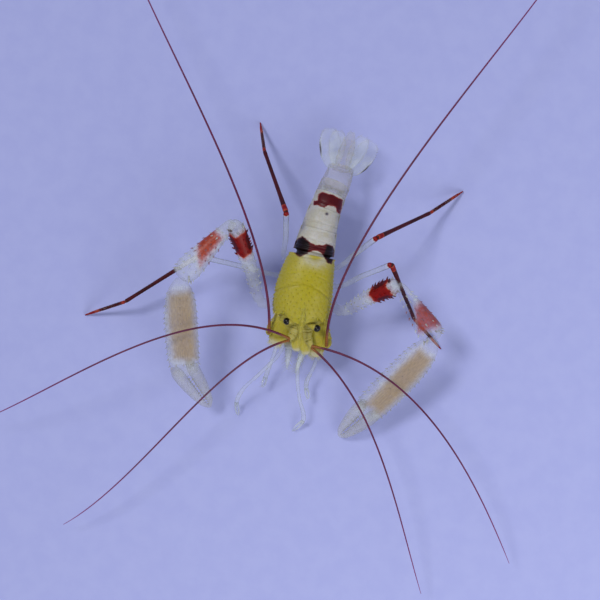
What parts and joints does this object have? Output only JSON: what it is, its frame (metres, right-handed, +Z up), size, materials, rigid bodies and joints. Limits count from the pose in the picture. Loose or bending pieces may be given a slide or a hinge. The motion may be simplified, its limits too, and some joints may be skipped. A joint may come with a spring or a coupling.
{
  "type": "cleaner shrimp",
  "caption": "Banded cleaner shrimp standing on its walking legs, both great claws swept forward, long feelers spread, tail straight out.",
  "frame": {"origin": "middle of the bounding box's bottom face, on the floor the animal stands on", "axes": "+Z up from the floor, -Y towards the head, +Y towards the tail, +X towards the right of a view from above with the tail up"},
  "size_m": [0.097, 0.1164, 0.0173],
  "materials": {
    "yellow_shell": "satin, finely spined shell, golden yellow with paler patches",
    "cream_shell": "satin pale cream shell",
    "maroon_band": "satin dark maroon band edged in orange red",
    "claw_shell": "satin cream shell with orange red joint patches, spined",
    "crimson_feeler": "satin crimson, finely ringed",
    "clear_shell": "milky, half clear shell",
    "dark_leg": "satin dark maroon with orange red tips",
    "eye": "glossy black"
  },
  "bodies": {
    "root": {"carapace": "yellow_shell", "somite_1": "cream_shell", "somite_2": "maroon_band", "somite_3": "cream_shell", "somite_4": "cream_shell", "somite_5": "cream_shell", "somite_6": "cream_shell", "telson": "cream_shell", "uropod_endopod_left": "clear_shell", "uropod_exopod_left": "clear_shell", "uropod_endopod_right": "clear_shell", "uropod_exopod_right": "clear_shell", "eye_left": "eye", "eyestalk_left": "clear_shell", "antennule_left": "yellow_shell", "antenna_scale_left": "yellow_shell", "antenna_left": "yellow_shell", "maxilliped_left": "clear_shell", "eye_right": "eye", "eyestalk_right": "clear_shell", "antennule_right": "yellow_shell", "antenna_scale_right": "yellow_shell", "antenna_right": "yellow_shell", "maxilliped_right": "clear_shell", "antennule_left_upper_1": "crimson_feeler", "antennule_left_upper_2": "crimson_feeler", "antennule_left_lower_1": "crimson_feeler", "antennule_left_lower_2": "crimson_feeler", "antennule_right_upper_1": "crimson_feeler", "antennule_right_upper_2": "crimson_feeler", "antennule_right_lower_1": "crimson_feeler", "antennule_right_lower_2": "crimson_feeler", "antenna_left_flagellum_1": "crimson_feeler", "antenna_left_flagellum_2": "crimson_feeler", "antenna_right_flagellum_1": "crimson_feeler", "antenna_right_flagellum_2": "crimson_feeler", "leg_1_left": "clear_shell", "leg_1_right": "clear_shell", "leg_2_left": "clear_shell", "leg_2_right": "clear_shell", "leg_4_left_merus": "clear_shell", "leg_4_left_carpus": "dark_leg", "leg_4_left_propodus": "dark_leg", "leg_4_right_merus": "clear_shell", "leg_4_right_carpus": "dark_leg", "leg_4_right_propodus": "dark_leg", "leg_5_left_merus": "clear_shell", "leg_5_left_carpus": "dark_leg", "leg_5_left_propodus": "dark_leg", "leg_5_right_merus": "clear_shell", "leg_5_right_carpus": "dark_leg", "leg_5_right_propodus": "dark_leg", "claw_left_arm": "claw_shell", "claw_left_wrist": "claw_shell", "claw_left_palm": "claw_shell", "claw_left_finger": "claw_shell", "claw_right_arm": "claw_shell", "claw_right_wrist": "claw_shell", "claw_right_palm": "claw_shell", "claw_right_finger": "claw_shell"}
  },
  "joints": []
}
